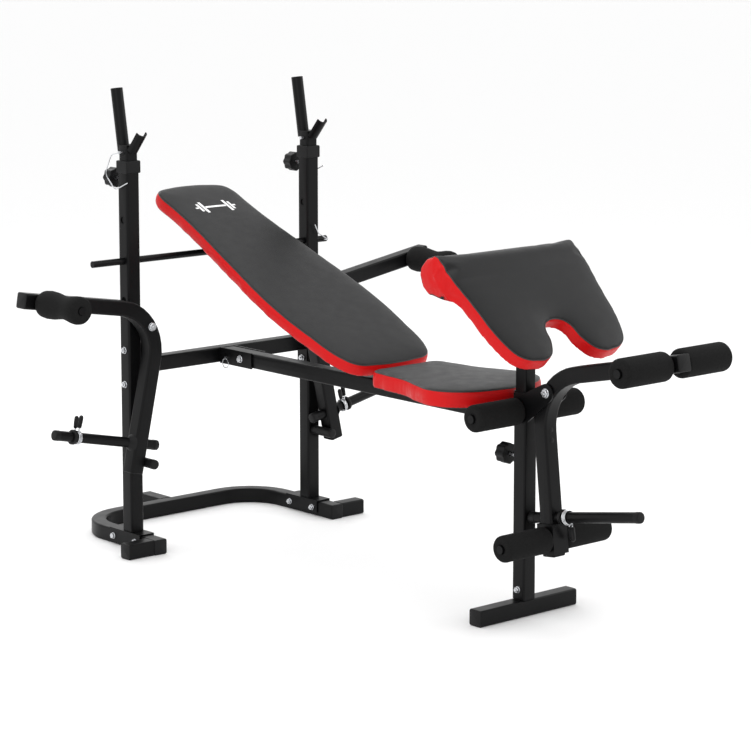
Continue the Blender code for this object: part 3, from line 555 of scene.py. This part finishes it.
def preacher_pad():
    """The arm-curl pad: a notched board cushion whose upper edge rolls over, with red sides and ends."""
    place = slope(PREACHER_ANGLE, -1.100, 0.7417)
    half = [(0.000, -0.078), (0.033, -0.090), (0.050, -0.143), (0.077, -0.174), (0.115, -0.178),
            (0.157, -0.163), (0.178, -0.125), (0.197, 0.000), (0.209, 0.085), (ROLL_HALF, 0.120),
            (ROLL_HALF, 0.140), (0.100, 0.142)]
    outline = smooth_outline(mirrored(half))
    thickness = 0.038
    body = remeshed("preacher_cushion", preacher_solid(outline, thickness))
    edge = outline_distance(outline)

    def held(co):
        under = co.z < -thickness + 0.004 and co.y < 0.03
        return under or (edge(co) < 0.005 and abs(co.z - SEAM) < 0.0035 and co.y < 0.06)

    simulate(body, held, 0.010)
    for vert in body.data.vertices:
        co, normal = vert.co, vert.normal
        inside = edge(co)
        if co.z > SEAM and co.y < 0.10:
            fade = min(1, max(0, (0.10 - co.y) / 0.06))
            limit = SEAM + RIM + 0.0085 * (1 - math.exp(-inside / CROWN_REACH))
            co.z += (limit - co.z) * SETTLE * fade
        elif inside < 0.010 and co.y < 0.05:
            co.x += normal.x * 0.0016
            co.y += normal.y * 0.0016
    subdivide = body.modifiers.new("subdivision", "SUBSURF")
    subdivide.levels = subdivide.render_levels = 1
    apply_modifiers(body)
    bm = bmesh.new()
    bm.from_mesh(body.data)
    borders = [((0, 0, SEAM), (0, 0, 1)), ((ROLL_BORDER, 0, 0), (1, 0, 0)), ((-ROLL_BORDER, 0, 0), (1, 0, 0))]
    for point, facing in borders:
        geometry = bm.verts[:] + bm.edges[:] + bm.faces[:]
        bmesh.ops.bisect_plane(bm, geom=geometry, plane_co=point, plane_no=facing)
    bm.to_mesh(body.data)
    bm.free()
    paint(body, lambda c, n: preacher_look(c, n, edge), (BLACK_VINYL, RED_VINYL, BACKING))
    bm = bmesh.new()
    bm.from_mesh(body.data)
    border = [e for e in bm.edges if len(e.link_faces) == 2
              and {f.material_index for f in e.link_faces} == {0, 1}]
    loops = ordered_loops(border)
    bm.free()
    body.matrix_world = place
    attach(body, "preacher")
    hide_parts("preacher_pad")
    for number, loop in enumerate(loops):
        bead = closed_bead(f"preacher_cushion_seam_{number}", [place @ p for p in loop], 0.0013, PIPING)
        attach(bead, "preacher")


def preacher_look(centre, normal, edge):
    """Black on top and round the roll, red on the sides and the roll's ends, dark backing underneath."""
    side = centre.z < SEAM and edge(centre) < 0.02
    if centre.y < 0.055:
        if normal.z < -0.7 and edge(centre) > 0.008:
            return 2
        return 1 if side else 0
    return 1 if abs(centre.x) > ROLL_BORDER or (side and abs(normal.x) > 0.6) else 0


def preacher_solid(outline, thickness):
    """The notched board joined with the teardrop roll on its upper edge."""
    board = from_bmesh("board", prism(outline, -0.0010, -thickness + 0.001, PROUD), smooth=0)
    profile = [(0.000, -0.0375), (0.030, -0.0400), (0.066, -0.0710), (0.089, -0.0850), (0.116, -0.0868),
               (0.138, -0.0755), (0.1485, -0.0560), (0.1460, -0.0290), (0.134, -0.0060), (0.104, -0.0004),
               (0.000, -0.0012)]
    bm = bmesh.new()
    ends = [[bm.verts.new((x, t, n)) for t, n in profile] for x in (-ROLL_HALF, ROLL_HALF)]
    for i in range(len(profile)):
        j = (i + 1) % len(profile)
        bm.faces.new((ends[0][i], ends[0][j], ends[1][j], ends[1][i]))
    bm.faces.new(ends[0])
    bm.faces.new(ends[1][::-1])
    bmesh.ops.recalc_face_normals(bm, faces=bm.faces)
    for vert in bm.verts:
        if vert.co.y < 0.02:
            vert.co.x *= 0.93
    roll = from_bmesh("roll", bm, smooth=0)
    keep = board.modifiers.new("trim", "BOOLEAN")
    beyond = [Vector(corner) for corner in ((-1, 0.10), (1, 0.10), (1, 1), (-1, 1))]
    cutter = from_bmesh("trim", prism(beyond, 1, -1), smooth=0)
    keep.operation, keep.solver, keep.object = "DIFFERENCE", "EXACT", cutter
    join = board.modifiers.new("join", "BOOLEAN")
    join.operation, join.solver, join.object = "UNION", "EXACT", roll
    apply_modifiers(board)
    result = bmesh.new()
    result.from_mesh(board.data)
    for used in (board, roll, cutter):
        bpy.data.objects.remove(used)
    return result


preacher_pad()


# ---------------------------------------------------------------- foam rollers and grips
FOAM_BORE = 0.0104           # radius of the hole round the axle


def foam_piece(name, node, body, profile, start, direction):
    bm = bmesh.new()
    lathe(bm, profile, start, direction, 56)
    obj = from_bmesh(name, bm, FOAM, smooth=60)
    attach(obj, body)
    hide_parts(node)


def foam_pieces():
    """Closed-cell foam sleeves: softly rounded ends, and a waist on the two arm grips."""
    for where in ("post", "lower", "curl"):
        for side, sign in SIDES:
            node = f"{side}_{where}_roller"
            low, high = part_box(node)
            centre, radius, length = (low + high) / 2, (high.z - low.z) / 2, high.x - low.x
            soft = 0.010
            turns = [math.radians(angle) for angle in (0, 22, 45, 67, 90)]
            nose = [(soft * math.cos(turn), soft * math.sin(turn)) for turn in turns]
            inner = [(radius - soft + c, length - soft + s) for c, s in nose]
            outer = [(radius - soft + c, soft - s) for c, s in reversed(nose)]
            bore = [(FOAM_BORE, 0.002), (FOAM_BORE, length - 0.002)]
            profile = bore[1:] + inner[::-1] + outer[::-1] + bore
            start = Vector((low.x, centre.y, centre.z))
            foam_piece(f"{node}_foam", node, node, profile, start, (1, 0, 0))
    stations = [(0.0290, 0.0), (0.0318, 0.03), (0.0335, 0.14), (0.0322, 0.30), (0.0285, 0.46), (0.0268, 0.57),
                (0.0290, 0.69), (0.0325, 0.82), (0.0333, 0.90), (0.0318, 0.965), (0.0285, 1.0)]
    for side, sign in SIDES:
        node = f"{side}_arm_grip"
        low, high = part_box(node)
        length = high.y - low.y
        bore = [(FOAM_BORE, 0), (FOAM_BORE, length)]
        profile = bore[1:] + [(r, length * s) for r, s in reversed(stations)] + bore
        start = Vector(((low.x + high.x) / 2, high.y, (low.z + high.z) / 2))
        foam_piece(f"{node}_foam", node, node, profile, start, (0, -1, 0))


foam_pieces()


# ---------------------------------------------------------------- end caps
def down_the_leg(z):
    """The point at height z on the leg tube's centre line."""
    return LEG_CORNER + LEG_DOWN * ((LEG_CORNER.z - z) / -LEG_DOWN.z)


def end_caps():
    """Plastic plugs in the open ends of the square tubes."""
    half = TUBE / 2
    fixed = []
    spots = {"bench_frame": fixed}
    for _, sign in SIDES:
        fixed.append((Vector((sign * FOOT_END_X, FOOT_FRONT_Y + half, half)), Vector((sign, 0, 0))))
        fixed.append((Vector((sign * UPRIGHT_X, FOOT_FRONT_Y, half)), Vector((0, -1, 0))))
        fixed.append((Vector((sign * FRONT_FOOT_HALF, POST_Y, half)), Vector((sign, 0, 0))))
    fixed.append((Vector((0, REAR_FOOT_END_Y, half)), Vector((0, 1, 0))))
    ahead = Vector((0, -math.cos(CURL_RISE), math.sin(CURL_RISE)))
    reach = LEG_CORNER.y - RACK_Y + FRONT_REACH - half * ahead.z
    tip = LEG_CORNER + ahead * (reach / math.cos(CURL_RISE))
    spots["leg_developer"] = [(tip, ahead), (down_the_leg(LEG_BOTTOM_Z), LEG_DOWN)]
    for side, sign in SIDES:
        knee = Vector((sign * ARM_KNEE[0], ARM_Y, ARM_KNEE[1]))
        out = Vector((sign * math.cos(ARM_RISE), 0, math.sin(ARM_RISE)))
        foot = Vector((sign * math.sin(ARM_LEAN), 0, -math.cos(ARM_LEAN)))
        spots[f"{side}_arm"] = [(knee + out * ((ARM_END_X - ARM_KNEE[0]) / math.cos(ARM_RISE)), out),
                                (knee + foot * ((ARM_KNEE[1] - ARM_BOTTOM_Z) / math.cos(ARM_LEAN)), foot)]
    upright = {"bench_frame": (0, 0, 1), "leg_developer": (1, 0, 0)}
    for body, places in spots.items():
        bm = bmesh.new()
        up = Vector(upright.get(body, (0, 1, 0)))
        for point, direction in places:
            side = up.cross(direction).normalized()
            basis = Matrix((side, direction.cross(side), direction)).transposed().to_4x4()
            face = Matrix.Translation(point + direction * 0.0022) @ basis
            cap_block(bm, face, half - 0.0004, 0.012)
        caps = from_bmesh(f"{body}_end_caps", bm, PLASTIC, smooth=50)
        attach(caps, body)


end_caps()


# ---------------------------------------------------------------- fasteners
def hex_prism(bm, place, across, height, chamfer=0.0007):
    turns = [math.radians(60 * i) for i in range(6)]
    corners = across / math.sqrt(3)
    rings = []
    for radius, z in ((corners, 0), (corners, height - chamfer), (across / 2 * 0.98, height)):
        rings.append([bm.verts.new(place @ Vector((radius * math.cos(turn), radius * math.sin(turn), z)))
                      for turn in turns])
    for a, b in zip(rings, rings[1:]):
        for i in range(6):
            bm.faces.new((a[i], a[(i + 1) % 6], b[(i + 1) % 6], b[i]))
    bm.faces.new(rings[0][::-1])
    bm.faces.new(rings[-1])


def hex_end(bm, point, direction, across, nut):
    """A washer with a hex head, or with a hex nut and the end of its bolt."""
    direction = Vector(direction)
    lathe(bm, [(0, 0), (across * 0.66, 0), (across * 0.66, 0.0010), (across * 0.62, 0.0014), (0, 0.0014)],
          point, direction, 24)
    hex_prism(bm, Matrix.Translation(Vector(point) + direction * 0.0013) @ turn_to(direction), across, 0.0052)
    if nut:
        lathe(bm, [(0.0036, 0.005), (0.0036, 0.0088), (0.0030, 0.0096), (0, 0.0096)], point, direction, 16)
    bmesh.ops.recalc_face_normals(bm, faces=bm.faces)


def fasteners():
    """Hex bolts and nuts, each on the body it clamps: (point, direction, size across flats, is it a nut)."""
    fixed, leg = [], []
    upright_mid = RACK_Y + TUBE / 2
    for _, sign in SIDES:
        outer, inner = sign * (UPRIGHT_X + TUBE / 2), sign * (UPRIGHT_X - TUBE / 2 - 0.0045)
        for z in CROSSBAR_BOLTS_Z:
            fixed.append(((outer, upright_mid, z), (sign, 0, 0), 0.013, sign < 0))
            fixed.append(((inner, upright_mid, z), (-sign, 0, 0), 0.013, sign > 0))
        for y in SADDLE_BOLTS_Y:
            for outward, nut in ((1, False), (-1, True)):
                point = (sign * (UPRIGHT_X + outward * 0.0224), y, 0.0215)
                fixed.append((point, (sign * outward, 0, 0), 0.012, nut))
        fixed.append(((sign * TUBE / 2, POST_Y, 0.061), (sign, 0, 0), 0.012, sign < 0))
        fixed.append(((sign * 0.0235, RAIL_BOLT_Y, RAIL_Z), (sign, 0, 0), 0.014, sign > 0))
        fixed.append(((sign * 0.0236, *LEG_PIVOT), (sign, 0, 0), 0.016, sign < 0))
        leg.append(((sign * 0.0230, *LEG_SLEEVE_BOLT), (sign, 0, 0), 0.010, False))
        front = ARM_Y - TUBE / 2 - 0.0004
        fixed.append(((sign * ARM_PIVOT[0], front, ARM_PIVOT[1]), (0, -1, 0), 0.016, True))
    for body, ends in (("bench_frame", fixed), ("leg_developer", leg)):
        bm = bmesh.new()
        for point, direction, across, nut in ends:
            hex_end(bm, point, direction, across, nut)
        bolts = from_bmesh(f"{body}_bolts", bm, ZINC, smooth=25)
        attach(bolts, body)
        if body == "bench_frame":
            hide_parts("rail_bolt", "leg_pivot_bolt")


fasteners()


# ---------------------------------------------------------------- small fittings
def round_end(bm, point, direction, radius, sleeve=0.012, round_off=0.004):
    """A plastic cap over the end of a round bar: a short sleeve with a rounded closed end at point."""
    turns = [math.radians(a) for a in (0, 25, 50, 75, 90)]
    outside = radius + 0.0004
    nose = [(outside - round_off + round_off * math.cos(a), 0.0015 - round_off + round_off * math.sin(a))
            for a in turns]
    lathe(bm, [(radius + 0.0001, -sleeve), (outside, -sleeve)] + nose + [(0, 0.0015)], point, direction, 32)


def arm_peg(sign):
    """Where an arm's plate peg crosses its tube, and the peg's outward direction."""
    root = Vector((sign * ARM_PEG_ROOT[0], ARM_Y, ARM_PEG_ROOT[1]))
    return root, Vector((sign * math.cos(ARM_LEAN), 0, math.sin(ARM_LEAN)))


def bar_caps():
    """Caps on the ends of the plate pegs and the arm stops, and the pegs' weld flares."""
    for side, sign in SIDES:
        middle, out = arm_peg(sign)
        bm = bmesh.new()
        round_end(bm, middle + out * ARM_PEG_OUTER, out, PEG_RADIUS)
        round_end(bm, middle - out * ARM_PEG_INNER, -out, PEG_RADIUS)
        lathe(bm, [(0.0225, 0.0), (0.0195, 0.0035), (0.0155, 0.0090), (0.0126, 0.0150), (0.0126, 0.0)],
              middle + out * (TUBE / 2 - 0.0004), out, 32)
        caps = from_bmesh(f"{side}_peg_caps", bm, PLASTIC, smooth=40)
        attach(caps, f"{side}_arm")
        bm = bmesh.new()
        round_end(bm, Vector((sign * UPRIGHT_X, *STOP_TIP)), (0, -1, 0), 0.0118)
        cap = from_bmesh(f"{side}_stop_cap", bm, PLASTIC, smooth=40)
        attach(cap, "bench_frame")
    bm = bmesh.new()
    round_end(bm, LEG_PEG_ROOT + LEG_PEG_AHEAD * LEG_PEG_TIP, LEG_PEG_AHEAD, PEG_RADIUS)
    round_end(bm, LEG_PEG_ROOT - LEG_PEG_AHEAD * LEG_PEG_BACK, -LEG_PEG_AHEAD, PEG_RADIUS, 0.018)
    caps = from_bmesh("leg_peg_caps", bm, PLASTIC, smooth=40)
    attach(caps, "leg_developer")


def collar_fittings(name, centre, axis, towards, ring_side):
    """Black dipped handles on a spring collar's two tails, and the plastic ring beside its coil."""
    length = 0.033
    up = (towards - axis * axis.dot(towards)).normalized()
    side = axis.cross(up)
    bm = bmesh.new()
    for sign in (-1, 1):
        root = centre + axis * 0.0054 * sign
        root += (up * math.cos(math.radians(20)) + side * math.sin(math.radians(20))) * 0.0160
        tail = up * 0.030 + (axis * 0.010 - side * 0.012) * sign
        along = tail.normalized()
        start = root + along * 0.0085
        lathe(bm, [(0, 0), (0.0040, 0.0004), (0.0050, 0.0020), (0.0056, 0.016), (0.0054, length - 0.005),
                   (0.0040, length - 0.0015), (0.0022, length), (0, length)], start, along, 24)
    offset = centre + axis * ring_side * 0.0095
    lathe(bm, [(0.0130, 0.0), (0.0172, 0.0), (0.0182, 0.0012), (0.0182, 0.0066), (0.0172, 0.0080),
               (0.0130, 0.0080), (0.0130, 0.0)], offset, axis * ring_side, 40)
    fittings = from_bmesh(f"{name}_fittings", bm, PLASTIC, smooth=50)
    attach(fittings, name)


def all_collar_fittings():
    for side, sign in SIDES:
        root, out = arm_peg(sign)
        centre = root + out * ARM_COLLAR_AT[side]
        collar_fittings(f"{side}_spring_collar", centre, out, Vector((0, 0, 1)), 1)
    centre = LEG_PEG_ROOT + LEG_PEG_AHEAD * LEG_COLLAR_AT
    collar_fittings("leg_spring_collar", centre, LEG_PEG_AHEAD, Vector((0, 0, -1)), -1)


def knob_shanks():
    """The bright screw between each knob's grip and the tube, with the nut welded on the tube."""
    spots = [(f"{side}_catch_knob", (sign * UPRIGHT_X, RACK_Y + TUBE, CATCH_KNOB_Z)) for side, sign in SIDES]
    spots.append(("post_knob", (0, POST_FACE_Y, POST_KNOB_Z)))
    nuts = bmesh.new()
    for name, point in spots:
        bm = bmesh.new()
        lathe(bm, [(0, 0.0006), (0.0056, 0.0006), (0.0056, 0.0276), (0, 0.0276)], point, (0, 1, 0), 24)
        screw = from_bmesh(f"{name}_screw", bm, ZINC, smooth=40)
        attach(screw, name)
        ring = [(0.0060, 0), (0.0100, 0), (0.0100, 0.0058), (0.0092, 0.0066), (0.0060, 0.0066), (0.0060, 0)]
        lathe(nuts, ring, point, (0, 1, 0), 32)
    welded = from_bmesh("knob_nuts", nuts, STEEL, smooth=40)
    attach(welded, "bench_frame")


def hole_plugs():
    """Flush plastic plugs in the adjusting holes down the front of the leg tube."""
    bm = bmesh.new()
    facing = Vector((0, -math.cos(LEG_LEAN), math.sin(LEG_LEAN)))
    for z in LEG_PLUGS_Z:
        middle = down_the_leg(z) + facing * TUBE / 2
        lathe(bm, [(0.0058, -0.001), (0.0058, 0.0004), (0.0050, 0.0009), (0, 0.0011)], middle, facing, 24)
    plugs = from_bmesh("leg_tube_plugs", bm, PLASTIC, smooth=40)
    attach(plugs, "leg_developer")


bar_caps()
all_collar_fittings()
knob_shanks()
hole_plugs()


# ---------------------------------------------------------------- print on the backrest
def print_on(obj, place, body):
    """A plain dumbbell outline printed on the backrest's upper end, lying on the vinyl."""
    bm = bmesh.new()
    bm.from_mesh(obj.data)
    tree = BVHTree.FromBMesh(bm)
    bm.free()
    centre = Vector((0.0, 0.745))
    bars = [((-0.032, 0), (0.032, 0), 0.0078)]
    for sign in (-1, 1):
        bars += [((sign * 0.0375, -0.026), (sign * 0.0375, 0.026), 0.0078),
                 ((sign * 0.0490, -0.018), (sign * 0.0490, 0.018), 0.0070),
                 ((sign * 0.0535, 0), (sign * 0.0620, 0), 0.0065)]
    print_mesh = bmesh.new()
    for start, end, width in bars:
        a, b = Vector(start) + centre, Vector(end) + centre
        along = (b - a).normalized()
        across = Vector((-along.y, along.x)) * width / 2
        steps = max(2, round((b - a).length / 0.003))
        rows = []
        for i in range(steps + 1):
            middle = a.lerp(b, i / steps)
            row = []
            for point in (middle - across, middle + across):
                hit = tree.ray_cast(Vector((point.x, point.y, 0.05)), Vector((0, 0, -1)))
                row.append(print_mesh.verts.new(hit[0] + Vector((0, 0, 0.00025))))
            rows.append(row)
        for first, second in zip(rows, rows[1:]):
            print_mesh.faces.new((first[0], first[1], second[1], second[0]))
    bmesh.ops.recalc_face_normals(print_mesh, faces=print_mesh.faces)
    mark = from_bmesh("backrest_print", print_mesh, PRINT, smooth=0)
    mark.matrix_world = place
    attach(mark, body)


print_on(backrest, BACK_PLACE, "backrest")


# ---------------------------------------------------------------- floor and light
def studio():
    bm = bmesh.new()
    bmesh.ops.create_grid(bm, x_segments=1, y_segments=1, size=90)
    floor = from_bmesh("floor", bm, surface("floor", (0.92, 0.92, 0.92), 0.75), smooth=0)
    floor.location = (0, 0, -0.0002)
    world = bpy.data.worlds.new("studio")
    bpy.context.scene.world = world
    world.use_nodes = True
    world.node_tree.nodes["Background"].inputs["Color"].default_value = (1, 1, 1, 1)
    world.node_tree.nodes["Background"].inputs["Strength"].default_value = 1.06
    lights = (("overhead", (0.0, 0.3, 3.6), (0, 0, 0), 3.2, 40),
              ("left_soft", (-3.4, -1.0, 2.6), (0, 0, 0.5), 1.8, 28),
              ("right_soft", (3.0, -1.6, 2.4), (0, 0, 0.5), 1.6, 20),
              ("back_rim", (0.8, 3.6, 2.4), (0, 0, 0.6), 1.8, 22))
    for name, at, target, size, power in lights:
        data = bpy.data.lights.new(name, "AREA")
        data.size, data.energy = size, power
        lamp = bpy.data.objects.new(name, data)
        bpy.context.scene.collection.objects.link(lamp)
        lamp.location = at
        lamp.rotation_mode = "QUATERNION"
        lamp.rotation_quaternion = (Vector(target) - Vector(at)).to_track_quat("-Z", "Y")
    bpy.context.scene.view_settings.view_transform = "Standard"


studio()
